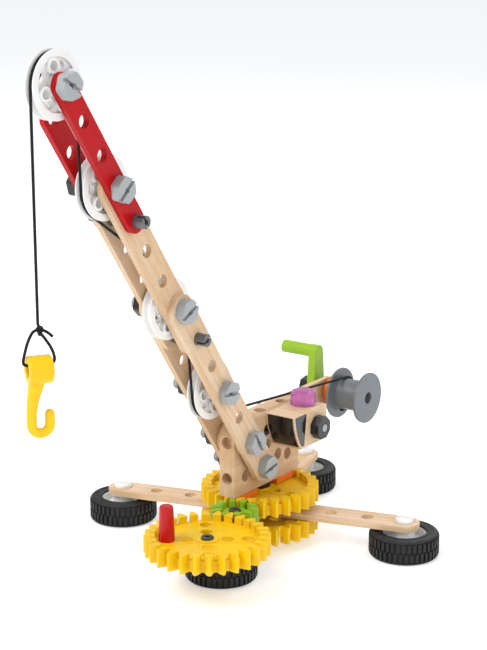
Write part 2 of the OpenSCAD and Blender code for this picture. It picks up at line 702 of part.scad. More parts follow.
module cord_loop() color("dimgray") in_hook_plane() {
    swept([for (p = loop_points) [p[0], 0, p[1]]], cord_d / 2);
    swept([for (p = tail_points) [p[0], 0, p[1]]], cord_d / 2);
    swept([for (p = fall_points) [p[0], 0, p[1]]], cord_d / 2);
    translate([0.8, 0, 22]) sphere(d = 4.6, $fn = 24);
}

// Hook stem and bowl: centre line and radius at each ring, ending in a rounded tip
bowl_r = 5.2;
bowl_z = -31.4;
stem = [[-1.6, -6.5, 4.4], [-3.2, -13, 3.8], [-4.4, -19, 3.3], [-5.1, -25, 2.95]];
bowl = [for (a = [180 : 20 : 360]) [bowl_r * cos(a), bowl_z + bowl_r * sin(a), 2.85]];
tip = [[5.2, -26.2, 2.8], [5.2, -24.7, 2.5], [5.2, -23.6, 1.8], [5.2, -23.1, 0.8]];
module hook() color("gold") in_hook_plane() {
    line = concat(stem, bowl, tip);
    difference() {
        translate([-barrel_l / 2, 0, 0]) rotate([0, 90, 0]) cylinder(h = barrel_l, d = barrel_d);
        rotate([0, 90, 0]) cylinder(h = 2 * barrel_l, r = hole_r, center = true);
    }
    swept([for (p = line) [p[0], 0, p[1]]], [for (p = line) p[2]], 16);
}

long_outrigger();
cross_outrigger();
wheel_bolts();
wheel_nuts();
wheel_spacers();
slew_bolt();
slew_nut();
axle_pins();
tyre_left();
tyre_right();
tyre_front();
tyre_back();
hub_left();
hub_right();
hub_front();
hub_back();
lower_gear();
pinion();
drive_gear();
drive_handle();
upper_gear();
coupling_plates();
tower_block();
near_lower_strip();
near_middle_strip();
near_red_strip();
far_lower_strip();
far_middle_strip();
far_red_strip();
boom_bolts();
boom_nuts();
strip_pins();
block_spacers();
pulley_spacers();
pulley_1();
pulley_2();
pulley_3();
pulley_4();
cab_front();
cab_body();
cab_windows();
cab_bolt();
cab_nut();
lamp_cap();
winch_arm();
arm_pin();
spool();
spool_washer();
crank();
winch_axle();
winch_nut();
cord_windings();
cord_run();
cord_fall();
cord_loop();
hook();
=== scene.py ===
import json
import math

import bmesh
import bpy
from mathutils import Matrix, Vector

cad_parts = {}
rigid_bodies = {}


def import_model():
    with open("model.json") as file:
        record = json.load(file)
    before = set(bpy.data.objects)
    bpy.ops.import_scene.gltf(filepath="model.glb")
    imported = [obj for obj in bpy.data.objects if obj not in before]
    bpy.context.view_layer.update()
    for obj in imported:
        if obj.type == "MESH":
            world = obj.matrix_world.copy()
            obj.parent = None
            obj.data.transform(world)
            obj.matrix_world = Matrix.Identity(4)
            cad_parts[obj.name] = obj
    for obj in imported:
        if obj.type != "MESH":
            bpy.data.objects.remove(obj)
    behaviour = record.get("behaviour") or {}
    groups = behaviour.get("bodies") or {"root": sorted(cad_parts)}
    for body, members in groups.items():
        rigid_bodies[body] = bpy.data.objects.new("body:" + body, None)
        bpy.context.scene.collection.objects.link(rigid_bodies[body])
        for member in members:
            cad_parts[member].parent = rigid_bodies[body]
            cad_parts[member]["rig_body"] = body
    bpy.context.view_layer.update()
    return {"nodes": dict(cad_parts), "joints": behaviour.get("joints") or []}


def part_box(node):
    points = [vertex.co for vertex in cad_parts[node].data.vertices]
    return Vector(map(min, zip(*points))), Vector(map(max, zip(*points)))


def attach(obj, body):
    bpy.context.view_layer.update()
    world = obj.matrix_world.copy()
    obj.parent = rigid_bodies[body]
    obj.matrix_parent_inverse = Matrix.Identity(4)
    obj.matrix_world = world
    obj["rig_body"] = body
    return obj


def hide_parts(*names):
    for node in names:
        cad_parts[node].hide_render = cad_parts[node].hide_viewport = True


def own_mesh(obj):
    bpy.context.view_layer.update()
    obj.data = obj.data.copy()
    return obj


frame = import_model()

mm = 0.001
quarter = math.pi / 2

# camera, level with the eye of someone looking down at a table
cameraSet = {
    "place": Vector((0.3405, -0.9970, 0.4203)),
    "ahead": Vector((-0.3223, 0.9126, -0.2516)),
    "lens": 92.08,
    "sensor": 36.0,
}
camera = bpy.data.objects.new("craneCamera", bpy.data.cameras.new("craneCamera"))
bpy.context.scene.collection.objects.link(camera)
camera.location = cameraSet["place"]
camera.rotation_euler = cameraSet["ahead"].to_track_quat("-Z", "Y").to_euler()
camera.data.lens = cameraSet["lens"]
camera.data.sensor_width = cameraSet["sensor"]
camera.data.sensor_fit = "AUTO"
camera.data.clip_start = 0.01
bpy.context.scene.camera = camera
print("camera placed")

# the crane's own directions: lean is the way the boom leans, side points to the cab
joints = {joint["name"]: joint for joint in frame["joints"]}
sideWay = -Vector(joints["winch_turn"]["axis"])
leanWay = Vector((sideWay.y, -sideWay.x, 0))
heading = math.atan2(leanWay.y, leanWay.x)


def jointAt(name):
    return Vector(joints[name]["pos_m"])


def fromCrane(lean, side, z):
    return leanWay * lean + sideWay * side + Vector((0, 0, z))


def toCrane(point):
    return Vector((point.dot(leanWay), point.dot(sideWay), point.z))


pulleyNames = ["top", "upper", "middle", "lower"]
pulleyAt = [toCrane(jointAt(f"pulley_{name}_spin")) for name in pulleyNames]
drumAt = toCrane(jointAt("winch_turn"))
boomLean = math.atan2(pulleyAt[0].z - pulleyAt[3].z, pulleyAt[0].x - pulleyAt[3].x)
towerTurn = Matrix.Rotation(heading, 4, "Z")
sideTurn = Matrix.Rotation(-quarter, 4, "X")
boomTurn = towerTurn @ Matrix.Rotation(-boomLean, 4, "Y") @ sideTurn


def boomHole(k):
    return pulleyAt[0] + (pulleyAt[3] - pulleyAt[0]) * k / 10


# mesh helpers

def addPiece(name, mesh, body):
    piece = bpy.data.objects.new(name, mesh)
    bpy.context.scene.collection.objects.link(piece)
    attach(piece, body)
    return piece


def applyModifiers(piece):
    mesh = bpy.data.meshes.new_from_object(piece.evaluated_get(bpy.context.evaluated_depsgraph_get()))
    piece.modifiers.clear()
    piece.data = mesh


def shadeByAngle(mesh, degrees):
    mesh.shade_smooth()
    mesh.set_sharp_from_angle(angle=math.radians(degrees))


def finished(work, name, degrees=35):
    bmesh.ops.recalc_face_normals(work, faces=work.faces)
    mesh = bpy.data.meshes.new(name)
    work.to_mesh(mesh)
    work.free()
    shadeByAngle(mesh, degrees)
    return mesh


def tubeMesh(name, points, radius, sides=14):
    # a round tube along the points, with a UV map in cord diameters for the braid
    points = [Vector(p) for p in points]
    radii = radius if isinstance(radius, list) else [radius] * len(points)
    work = bmesh.new()
    uvLayer = work.loops.layers.uv.new("braidMap")
    side = None
    rings = []
    run = [0.0]
    for i, point in enumerate(points):
        ahead = (points[min(i + 1, len(points) - 1)] - points[max(i - 1, 0)]).normalized()
        side = side or ahead.orthogonal().normalized()
        side = (side - ahead * side.dot(ahead)).normalized()
        other = ahead.cross(side)
        turns = [2 * math.pi * k / sides for k in range(sides)]
        rings.append([work.verts.new(point + radii[i] * (math.cos(t) * side + math.sin(t) * other))
                      for t in turns])
        if i:
            run.append(run[-1] + (point - points[i - 1]).length)
    for i in range(len(points) - 1):
        for k in range(sides):
            face = work.faces.new((rings[i][k], rings[i][(k + 1) % sides],
                                   rings[i + 1][(k + 1) % sides], rings[i + 1][k]))
            corners = ((i, k), (i, k + 1), (i + 1, k + 1), (i + 1, k))
            for loop, (row, column) in zip(face.loops, corners):
                loop[uvLayer].uv = (run[row] / (2 * radii[0]), column / sides)
    work.faces.new(list(reversed(rings[0])))
    work.faces.new(rings[-1])
    return finished(work, name, 50)


def smoothPath(points, steps=6):
    points = [Vector(p) for p in points]
    ends = [2 * points[0] - points[1]] + points + [2 * points[-1] - points[-2]]
    path = []
    for a, b, c, d in zip(ends, ends[1:], ends[2:], ends[3:]):
        for i in range(steps):
            t = i / steps
            path.append(0.5 * (2 * b + (c - a) * t + (2 * a - 5 * b + 4 * c - d) * t * t
                               + (3 * b - a - 3 * c + d) * t ** 3))
    return path + [points[-1]]


# cords
cordSet = {
    "radius": 0.85 * mm,
    "pulleyWrap": 17.9 * mm,       # from a pulley's axis to the middle of the cord
    "drumWrap": 12.0 * mm,
    "runStart": 4.6 * mm,         # where the cord leaves the drum, along the drum
    "windings": 0.56,
    "windingPitch": 1.78 * mm,
    "hookTurn": math.radians(147.4),
    "fallFoot": 26.5,
    "loop": [(1.4, 20.2), (3, 18.2), (5, 15.2), (6.9, 12), (8.3, 8.4), (8.8, 5), (7.6, 3.1), (4, 2.9),
             (0, 2.9), (-4, 2.9), (-7.6, 3.1), (-8.8, 5), (-8, 9), (-6.6, 14), (-4.9, 18.2), (-2.8, 21.4),
             (-0.6, 22.4)],
    "tail": [(2.4, 22), (4.2, 21.2), (6.2, 19.7), (8.2, 17.8)],
    "neck": [(0, 26.5), (0.05, 25.6), (0.4, 24.4), (0.9, 23)],     # starts at the foot of the fall
}
knotSet = {"steps": 72, "along": 0.9, "up": 22, "size": 0.62, "width": 0.8, "height": 1.25, "depth": 0.95}
# stem and tip hold the place across, the height and the wire's radius
hookSet = {
    "barrel": 8.0, "halfLength": 6.9, "bore": 4.0, "barrelCorner": 0.9, "boreCorner": 0.5,
    "bowl": 5.2, "bowlDrop": 31.4, "bowlSteps": 12, "wire": 2.85, "grain": 0.32,
    "stem": [(-1.4, -5.0, 4.8), (-2.2, -9, 4.5), (-3.4, -14, 3.75), (-4.4, -19, 3.25), (-5.1, -25, 2.95)],
    "tip": [(5.2, -26.2, 2.8), (5.2, -24.7, 2.5), (5.2, -23.6, 1.8), (5.2, -23.1, 0.8)],
}
cordRadius = cordSet["radius"]
wrap = cordSet["pulleyWrap"]


def lineBetween(a, b, reach):
    # slope of the straight cord between two wheels, reach being the shift from one side to the other
    across = math.hypot(b.x - a.x, b.z - a.z)
    return math.atan2(b.z - a.z, b.x - a.x) + math.asin(reach / across)


def arcOn(centre, radius, startTurn, endTurn, side, steps):
    turns = [startTurn + (endTurn - startTurn) * i / steps for i in range(steps + 1)]
    return [fromCrane(centre.x + radius * math.cos(t), side, centre.z + radius * math.sin(t)) for t in turns]


def braidLine(points, spacing):
    # the same line with points at an even spacing, for the straight stretches
    path = [points[0]]
    for a, b in zip(points, points[1:]):
        count = max(1, round((b - a).length / spacing))
        path += [a.lerp(b, (i + 1) / count) for i in range(count)]
    return path


drumLine = lineBetween(drumAt, pulleyAt[3], -(cordSet["drumWrap"] + wrap))
lowLine = lineBetween(pulleyAt[3], pulleyAt[2], 2 * wrap)
middleLine = lineBetween(pulleyAt[2], pulleyAt[1], -2 * wrap)
topLine = lineBetween(pulleyAt[1], pulleyAt[0], 2 * wrap)
leaveTurn = drumLine + quarter
runStart = arcOn(drumAt, cordSet["drumWrap"], leaveTurn, leaveTurn, cordSet["runStart"], 1)[:1]
runPath = (runStart
           + arcOn(pulleyAt[3], wrap, drumLine - quarter, lowLine - quarter, 0, 16)
           + arcOn(pulleyAt[2], wrap, lowLine + quarter, middleLine + quarter, 0, 12)
           + arcOn(pulleyAt[1], wrap, middleLine - quarter, topLine - quarter, 0, 12)
           + arcOn(pulleyAt[0], wrap, topLine + quarter, 0, pulleyAt[0].y, 34))
cordRun = addPiece("cordRun", tubeMesh("cordRun", braidLine(runPath, 6 * mm), cordRadius), "superstructure")
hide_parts("cord_run")

windingTurns = []
windingSteps = 40
for i in range(int(cordSet["windings"] * windingSteps) + 1):
    turn = i / windingSteps
    angle = leaveTurn + 2 * math.pi * turn
    windingTurns += arcOn(drumAt, cordSet["drumWrap"], angle, angle,
                          cordSet["runStart"] - turn * cordSet["windingPitch"], 1)[:1]
cordWindings = addPiece("cordWindings", tubeMesh("cordWindings", windingTurns, cordRadius), "winch")
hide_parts("cord_windings")

hookTurnAt = towerTurn @ Matrix.Rotation(cordSet["hookTurn"], 4, "Z")
fallTop = fromCrane(pulleyAt[0].x + wrap, pulleyAt[0].y, pulleyAt[0].z)
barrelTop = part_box("hook")[1].z
barrelAt = Vector((fallTop.x, fallTop.y, barrelTop - hookSet["barrel"] * mm))


def onHook(along, up, away=0.0):
    return barrelAt + (hookTurnAt.to_3x3() @ Vector((along, away, 0)) + Vector((0, 0, up))) * mm


fallFootAt = onHook(0, cordSet["fallFoot"])
fallPath = braidLine([fallTop, fallFootAt], 4 * mm)
cordFall = addPiece("cordFall", tubeMesh("cordFall", fallPath, cordRadius), "superstructure")
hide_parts("cord_fall")
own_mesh(cordFall)

loopPath = smoothPath([onHook(along, up) for along, up in cordSet["loop"]])
cordLoop = addPiece("cordLoop", tubeMesh("cordLoop", loopPath, cordRadius), "hoist")
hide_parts("cord_loop")

# the knot is a tight trefoil with the short tail coming out of its side
knotPath = []
for i in range(knotSet["steps"] + 1):
    turn = 2 * math.pi * i / knotSet["steps"]
    across = knotSet["size"] * (math.sin(turn) + 2 * math.sin(2 * turn)) * knotSet["width"]
    rise = knotSet["size"] * (math.cos(turn) - 2 * math.cos(2 * turn)) * knotSet["height"]
    depth = -knotSet["depth"] * math.sin(3 * turn)
    knotPath.append(onHook(knotSet["along"] + across, knotSet["up"] + rise, depth))
cordKnot = addPiece("cordKnot", tubeMesh("cordKnot", knotPath, cordRadius), "hoist")
tailPath = smoothPath([onHook(along, up, 0.4) for along, up in cordSet["tail"]])
cordTail = addPiece("cordTail", tubeMesh("cordTail", tailPath, cordRadius), "hoist")
neckPath = smoothPath([onHook(along, up) for along, up in cordSet["neck"]])
cordNeck = addPiece("cordNeck", tubeMesh("cordNeck", neckPath, cordRadius), "hoist")


def asPath(points):
    return [tuple(p) for p in points]


asPath(braidLine(runPath, 6 * mm))
print("cords laid")

# shader helpers


def addNode(tree, kind, values=None, **options):
    made = tree.nodes.new("ShaderNode" + kind)
    for option, value in options.items():
        setattr(made, option, value)
    for socket, value in (values or {}).items():
        made.inputs[socket].default_value = value
    return made


def newGroup(name, inputs, outputs):
    group = bpy.data.node_groups.new(name, "ShaderNodeTree")
    for label, kind, value in inputs:
        socket = group.interface.new_socket(name=label, in_out="INPUT", socket_type=kind)
        if value is not None:
            socket.default_value = value
    for label, kind in outputs:
        group.interface.new_socket(name=label, in_out="OUTPUT", socket_type=kind)
    return group, group.nodes.new("NodeGroupInput").outputs, group.nodes.new("NodeGroupOutput").inputs


def scaledNoise(tree, vector, scale, detail=3.0, roughness=0.55, distortion=0.0):
    # noise on a vector that is stretched by a scale for each direction, in cells per metre
    spread = addNode(tree, "VectorMath", {1: scale}, operation="MULTIPLY")
    tree.links.new(vector, spread.inputs[0])
    noise = addNode(tree, "TexNoise", {"Scale": 1.0, "Detail": detail, "Roughness": roughness,
                                       "Distortion": distortion})
    tree.links.new(spread.outputs[0], noise.inputs["Vector"])
    return noise.outputs["Fac"]


def remapped(tree, value, low, high, toLow=0.0, toHigh=1.0):
    ramp = addNode(tree, "MapRange", {1: low, 2: high, 3: toLow, 4: toHigh}, interpolation_type="SMOOTHSTEP")
    tree.links.new(value, ramp.inputs[0])
    return ramp.outputs[0]


def combined(tree, operation, a, b):
    made = addNode(tree, "Math", operation=operation)
    for socket, value in zip(made.inputs, (a, b)):
        if isinstance(value, (int, float)):
            socket.default_value = value
        else:
            tree.links.new(value, socket)
    return made.outputs[0]


# wood: long soft streaks, fine fibres and the short dark flecks of beech, all along the vector's X
woodGrain, grainIn, grainOut = newGroup(
    "woodGrain", [("Vector", "NodeSocketVector", None), ("Shift", "NodeSocketFloat", 0.0)],
    [("Tone", "NodeSocketFloat"), ("Fleck", "NodeSocketFloat"), ("Height", "NodeSocketFloat")])
shiftBy = addNode(woodGrain, "VectorMath", operation="ADD")
woodGrain.links.new(grainIn["Vector"], shiftBy.inputs[0])
woodGrain.links.new(grainIn["Shift"], shiftBy.inputs[1])
grainAt = shiftBy.outputs[0]
streaks = scaledNoise(woodGrain, grainAt, (14, 260, 260), 4, 0.6, 0.5)
fibres = scaledNoise(woodGrain, grainAt, (90, 3200, 3200), 2, 0.6)
clouds = scaledNoise(woodGrain, grainAt, (22, 60, 60), 2)
flecks = remapped(woodGrain, scaledNoise(woodGrain, grainAt, (330, 2100, 2100), 1, 0.5), 0.63, 0.72)
toneSum = combined(woodGrain, "ADD", combined(woodGrain, "MULTIPLY", streaks, 0.6),
                   combined(woodGrain, "ADD", combined(woodGrain, "MULTIPLY", fibres, 0.22),
                            combined(woodGrain, "MULTIPLY", clouds, 0.3)))
woodGrain.links.new(remapped(woodGrain, toneSum, 0.38, 0.76), grainOut["Tone"])
woodGrain.links.new(flecks, grainOut["Fleck"])
woodGrain.links.new(combined(woodGrain, "SUBTRACT", fibres, flecks), grainOut["Height"])

# edge wear and painted sheen: a mask where the surface turns a corner, broken up by noise; darker wear on
# wood, and lighter edges on plastic and rubber that are partly painted sheen
edgeWearAndSheen, wearIn, wearOut = newGroup(
    "edgeWearAndSheen", [("Width", "NodeSocketFloat", 0.0006), ("Breakup", "NodeSocketFloat", 700.0)],
    [("Mask", "NodeSocketFloat")])
turned = addNode(edgeWearAndSheen, "Bevel", samples=4)
edgeWearAndSheen.links.new(wearIn["Width"], turned.inputs["Radius"])
surface = addNode(edgeWearAndSheen, "NewGeometry")
facing = addNode(edgeWearAndSheen, "VectorMath", operation="DOT_PRODUCT")
edgeWearAndSheen.links.new(turned.outputs[0], facing.inputs[0])
edgeWearAndSheen.links.new(surface.outputs["Normal"], facing.inputs[1])
edgeMask = remapped(edgeWearAndSheen, facing.outputs["Value"], 0.995, 0.86)
wearSpots = addNode(edgeWearAndSheen, "TexNoise", {"Detail": 3.0})
edgeWearAndSheen.links.new(surface.outputs["Position"], wearSpots.inputs["Vector"])
edgeWearAndSheen.links.new(wearIn["Breakup"], wearSpots.inputs["Scale"])
wearBreaks = remapped(edgeWearAndSheen, wearSpots.outputs["Fac"], 0.35, 0.7)
edgeWearAndSheen.links.new(combined(edgeWearAndSheen, "MULTIPLY", edgeMask, wearBreaks), wearOut["Mask"])

# moulded skin: faint flow marks, a fine pebble and handling marks that change the gloss
mouldSkin, skinIn, skinOut = newGroup(
    "mouldSkin", [("Vector", "NodeSocketVector", None), ("Gloss", "NodeSocketFloat", 0.3),
                  ("Handling", "NodeSocketFloat", 0.12)],
    [("Cloud", "NodeSocketFloat"), ("Roughness", "NodeSocketFloat"), ("Height", "NodeSocketFloat")])
flow = scaledNoise(mouldSkin, skinIn["Vector"], (70, 70, 70), 3, 0.5, 0.8)
pebble = scaledNoise(mouldSkin, skinIn["Vector"], (3600, 3600, 3600), 2)
rubbed = remapped(mouldSkin, scaledNoise(mouldSkin, skinIn["Vector"], (240, 240, 240), 5, 0.7), 0.45, 0.75)
mouldSkin.links.new(remapped(mouldSkin, flow, 0.3, 0.7), skinOut["Cloud"])
handled = combined(mouldSkin, "MULTIPLY", rubbed, skinIn["Handling"])
mouldSkin.links.new(combined(mouldSkin, "ADD", skinIn["Gloss"], handled), skinOut["Roughness"])
mouldSkin.links.new(combined(mouldSkin, "ADD", combined(mouldSkin, "MULTIPLY", pebble, 0.6),
                             combined(mouldSkin, "MULTIPLY", flow, 0.4)), skinOut["Height"])

# dust that settles on what faces up
dustFilm, dustIn, dustOut = newGroup(
    "dustFilm", [("Vector", "NodeSocketVector", None)], [("Mask", "NodeSocketFloat")])
lieOfLand = addNode(dustFilm, "SeparateXYZ")
dustFilm.links.new(addNode(dustFilm, "NewGeometry").outputs["Normal"], lieOfLand.inputs[0])
settled = remapped(dustFilm, lieOfLand.outputs["Z"], 0.35, 1.0)
dustFilm.links.new(combined(dustFilm, "MULTIPLY", settled, remapped(
    dustFilm, scaledNoise(dustFilm, dustIn["Vector"], (420, 420, 420), 6, 0.75), 0.4, 0.8)), dustOut["Mask"])

# braid: two sets of strands that cross round the cord
braidWeave, weaveIn, weaveOut = newGroup(
    "braidWeave", [("Map", "NodeSocketVector", None)],
    [("Height", "NodeSocketFloat"), ("Tone", "NodeSocketFloat")])
mapParts = addNode(braidWeave, "SeparateXYZ")
braidWeave.links.new(weaveIn["Map"], mapParts.inputs[0])
strands = []
crossings = {"perDiameter": 1.5, "round": 4}
for lean in (1, -1):
    alongTurns = 2 * math.pi * crossings["perDiameter"]
    roundTurns = lean * 2 * math.pi * crossings["round"]
    alongCord = combined(braidWeave, "MULTIPLY", mapParts.outputs["X"], alongTurns)
    roundCord = combined(braidWeave, "MULTIPLY", mapParts.outputs["Y"], roundTurns)
    phase = combined(braidWeave, "ADD", alongCord, roundCord)
    strands.append(combined(braidWeave, "ABSOLUTE", combined(braidWeave, "SINE", phase, 0), 0))
weaveHeight = combined(braidWeave, "MAXIMUM", strands[0], strands[1])
braidWeave.links.new(weaveHeight, weaveOut["Height"])
# the tone goes dark down between the strands: painted shade in the crevices of the braid
braidWeave.links.new(remapped(braidWeave, weaveHeight, 0.6, 1.0), weaveOut["Tone"])


def newMaterial(name, values):
    material = bpy.data.materials.new(name)
    material.use_nodes = True
    tree = material.node_tree
    shader = tree.nodes["Principled BSDF"] if "Principled BSDF" in tree.nodes else None
    if shader is None:
        tree.nodes.clear()
        shader = addNode(tree, "BsdfPrincipled")
        tree.links.new(shader.outputs[0], addNode(tree, "OutputMaterial").inputs["Surface"])
    for socket, value in values.items():
        shader.inputs[socket].default_value = value
    return material, tree, shader


def placed(tree, group, values=None, links=None):
    made = addNode(tree, "Group")
    made.node_tree = group
    for socket, value in (values or {}).items():
        made.inputs[socket].default_value = value
    for socket, source in (links or {}).items():
        tree.links.new(source, made.inputs[socket])
    return made.outputs


def mixedColour(tree, mask, first, second, share=1.0):
    mix = addNode(tree, "Mix", data_type="RGBA", clamp_factor=True)
    if share != 1.0:
        mask = combined(tree, "MULTIPLY", mask, share)
    tree.links.new(mask, mix.inputs[0])
    for socket, value in ((mix.inputs[6], first), (mix.inputs[7], second)):
        if isinstance(value, tuple):
            socket.default_value = (*value, 1)
        else:
            tree.links.new(value, socket)
    return mix.outputs[2]


def bumped(tree, shader, height, strength, distance):
    bump = addNode(tree, "Bump", {"Strength": strength, "Distance": distance})
    tree.links.new(height, bump.inputs["Height"])
    tree.links.new(bump.outputs[0], shader.inputs["Normal"])


def objectPlace(tree):
    return addNode(tree, "TexCoord").outputs["Object"]


def shaded(colour, share):
    return tuple(part * share for part in colour)


# warm is the darker end of the grain, and the colour each piece is pushed toward: a random tone on most
# pieces, painted shade on the block and the shaded boom strips
woodSet = {"pale": (0.76, 0.60, 0.45), "warm": (0.62, 0.40, 0.215), "fleck": (0.40, 0.22, 0.10),
           "edge": (0.56, 0.34, 0.18), "roughness": 0.52}


def beech(name, turn, shift, toneAndShade=0.0):
    # turn carries the grain's own direction into the place of the piece; the last argument pushes the whole
    # piece toward the warm colour: a random tone on most pieces, painted shade on the block and the shaded
    # boom strips
    material, tree, shader = newMaterial(name, {"IOR": 1.45, "Specular IOR Level": 0.35})
    lay = addNode(tree, "Mapping", vector_type="TEXTURE")
    lay.inputs["Rotation"].default_value = turn.to_euler()
    tree.links.new(objectPlace(tree), lay.inputs["Vector"])
    grain = placed(tree, woodGrain, {"Shift": shift}, {"Vector": lay.outputs[0]})
    pale = tuple(a + (b - a) * toneAndShade for a, b in zip(woodSet["pale"], woodSet["warm"]))
    colour = mixedColour(tree, grain["Tone"], shaded(woodSet["warm"], 1 - 0.12 * toneAndShade), pale)
    colour = mixedColour(tree, grain["Fleck"], colour, woodSet["fleck"], 0.42)
    wearAndSheen = placed(tree, edgeWearAndSheen, {"Width": 0.0007})
    colour = mixedColour(tree, wearAndSheen["Mask"], colour, woodSet["edge"], 0.35)
    tree.links.new(colour, shader.inputs["Base Color"])
    rough = remapped(tree, grain["Tone"], 0, 1, woodSet["roughness"] + 0.1, woodSet["roughness"] - 0.05)
    tree.links.new(rough, shader.inputs["Roughness"])
    bumped(tree, shader, grain["Height"], 0.25, 0.00012)
    return material


def lacquered(name, turn, colour):
    # wood under a coloured lacquer: the fibres still show in the gloss
    material, tree, shader = newMaterial(name, {"Coat Roughness": 0.2, "Coat Weight": 0.04,
                                                "Specular IOR Level": 0.15})
    lay = addNode(tree, "Mapping", vector_type="TEXTURE")
    lay.inputs["Rotation"].default_value = turn.to_euler()
    tree.links.new(objectPlace(tree), lay.inputs["Vector"])
    grain = placed(tree, woodGrain, {"Shift": 3.1}, {"Vector": lay.outputs[0]})
    tone = mixedColour(tree, grain["Tone"], shaded(colour, 0.8), colour)
    wearAndSheen = placed(tree, edgeWearAndSheen, {"Width": 0.0006})
    tone = mixedColour(tree, wearAndSheen["Mask"], tone, shaded(colour, 0.6), 0.4)
    tree.links.new(tone, shader.inputs["Base Color"])
    tree.links.new(remapped(tree, grain["Tone"], 0, 1, 0.42, 0.3), shader.inputs["Roughness"])
    bumped(tree, shader, grain["Height"], 0.18, 0.0001)
    return material


def plastic(name, colour, gloss=0.3, handling=0.14, pale=0.25, dust=0.05, more=None):
    material, tree, shader = newMaterial(name, {"IOR": 1.49, **(more or {})})
    place = objectPlace(tree)
    skin = placed(tree, mouldSkin, {"Gloss": gloss, "Handling": handling}, {"Vector": place})
    tone = mixedColour(tree, skin["Cloud"], shaded(colour, 0.93), colour)
    wearAndSheen = placed(tree, edgeWearAndSheen)
    # edges go lighter toward white by the share pale: part wear, part painted sheen
    sheenAndWornTone = tuple(part + (1 - part) * 0.35 for part in colour)
    tone = mixedColour(tree, wearAndSheen["Mask"], tone, sheenAndWornTone, pale)
    film = placed(tree, dustFilm, links={"Vector": place})
    tone = mixedColour(tree, film["Mask"], tone, (0.5, 0.47, 0.42), dust)
    tree.links.new(tone, shader.inputs["Base Color"])
    tree.links.new(skin["Roughness"], shader.inputs["Roughness"])
    bumped(tree, shader, skin["Height"], 0.12, 0.00006)
    return material


def rubber(name):
    material, tree, shader = newMaterial(name, {"Specular IOR Level": 0.35})
    place = objectPlace(tree)
    skin = placed(tree, mouldSkin, {"Gloss": 0.55, "Handling": 0.25}, {"Vector": place})
    tone = mixedColour(tree, skin["Cloud"], (0.007, 0.007, 0.008), (0.017, 0.017, 0.019))
    film = placed(tree, dustFilm, links={"Vector": place})
    tone = mixedColour(tree, film["Mask"], tone, (0.12, 0.115, 0.11), 0.2)
    # edges go lighter: part wear, part painted sheen
    wearAndSheen = placed(tree, edgeWearAndSheen, {"Width": 0.0004})
    tone = mixedColour(tree, wearAndSheen["Mask"], tone, (0.06, 0.06, 0.064), 0.5)
    tree.links.new(tone, shader.inputs["Base Color"])
    tree.links.new(skin["Roughness"], shader.inputs["Roughness"])
    bumped(tree, shader, skin["Height"], 0.3, 0.00012)
    return material


def fibreCord(name):
    material, tree, shader = newMaterial(name, {"Sheen Weight": 0.05, "Sheen Roughness": 0.4,
                                                "Specular IOR Level": 0.25})
    weave = placed(tree, braidWeave, links={"Map": addNode(tree, "UVMap", uv_map="braidMap").outputs[0]})
    # the braid's crevices are painted darker: painted shade
    tree.links.new(mixedColour(tree, weave["Tone"], (0.002, 0.002, 0.003), (0.012, 0.012, 0.013)),
                   shader.inputs["Base Color"])
    tree.links.new(remapped(tree, weave["Tone"], 0, 1, 0.85, 0.6), shader.inputs["Roughness"])
    bumped(tree, shader, weave["Height"], 0.8, 0.0002)
    return material


turnedCross = Matrix.Rotation(quarter, 4, "Z")
plain = {
    "yellow": plastic("yellowPlastic", (0.86, 0.54, 0.004), 0.32, 0.12, 0.15, 0.02,
                      {"Specular IOR Level": 0.3}),
    "green": plastic("greenPlastic", (0.28, 0.48, 0.015), 0.32, 0.14, 0.2, 0.03,
                     {"Specular IOR Level": 0.35}),
    "orange": plastic("orangePlastic", (0.88, 0.19, 0.012), 0.32),
    "red": plastic("redPlastic", (0.50, 0.003, 0.005), 0.3, 0.1, 0.1, 0.02, {"Specular IOR Level": 0.35}),
    "white": plastic("whitePlastic", (0.84, 0.84, 0.83), 0.3, 0.12, 0.1),
    "lightGrey": plastic("lightGreyPlastic", (0.36, 0.375, 0.385), 0.34),
    "midGrey": plastic("midGreyPlastic", (0.155, 0.17, 0.185), 0.33),
    "pinGrey": plastic("pinGreyPlastic", (0.115, 0.12, 0.125), 0.26),
    "darkGrey": plastic("darkGreyPlastic", (0.045, 0.05, 0.056), 0.36),
    "black": plastic("blackPlastic", (0.010, 0.010, 0.012), 0.3, 0.16, 0.3),
    "pink": plastic("pinkClear", (0.72, 0.20, 0.58), 0.1, 0.08, 0.2, 0.0, {"Transmission Weight": 0.6}),
    "paint": plastic("windowPaint", (0.006, 0.006, 0.008), 0.16, 0.1, 0.05, 0.04, {"Coat Weight": 0.4}),
    "rubber": rubber("tyreRubber"),
    "cord": fibreCord("cordFibre"),
    "redWood": lacquered("redLacquer", boomTurn, (0.50, 0.002, 0.006)),
    "longWood": beech("longStripBeech", Matrix.Identity(4), 0.3),
    "crossWood": beech("crossStripBeech", turnedCross, 1.7, 0.15),
    "boomWood": beech("boomBeech", boomTurn, 4.4, 0.1),
    # a darker copy of the boom beech: painted shade for the strips whose inner faces sit in shade
    "boomWoodPaintedShade": beech("boomBeechPaintedShade", boomTurn, 8.9, 0.3),
    # the block's beech is pushed far toward the darker warm colour: painted shade from its shaded sides,
    # laid over the grain
    "blockWood": beech("blockBeechPaintedShade", towerTurn, 6.2, 0.55),
    "spacerWood": beech("spacerBeech", boomTurn, 2.2, 0.8),
    "cabWood": beech("cabBeech", towerTurn @ turnedCross, 9.3, 0.05),
    "armWood": beech("armBeech", towerTurn @ sideTurn, 5.5, 0.2),
}
for piece in (cordRun, cordWindings, cordFall, cordLoop, cordKnot, cordTail, cordNeck):
    piece.data.materials.append(plain["cord"])
print("materials made")

# pieces that keep their CAD shape, with every corner rounded as the real one is

def camel(node):
    words = node.split("_")
    return words[0] + "".join(word.capitalize() for word in words[1:])


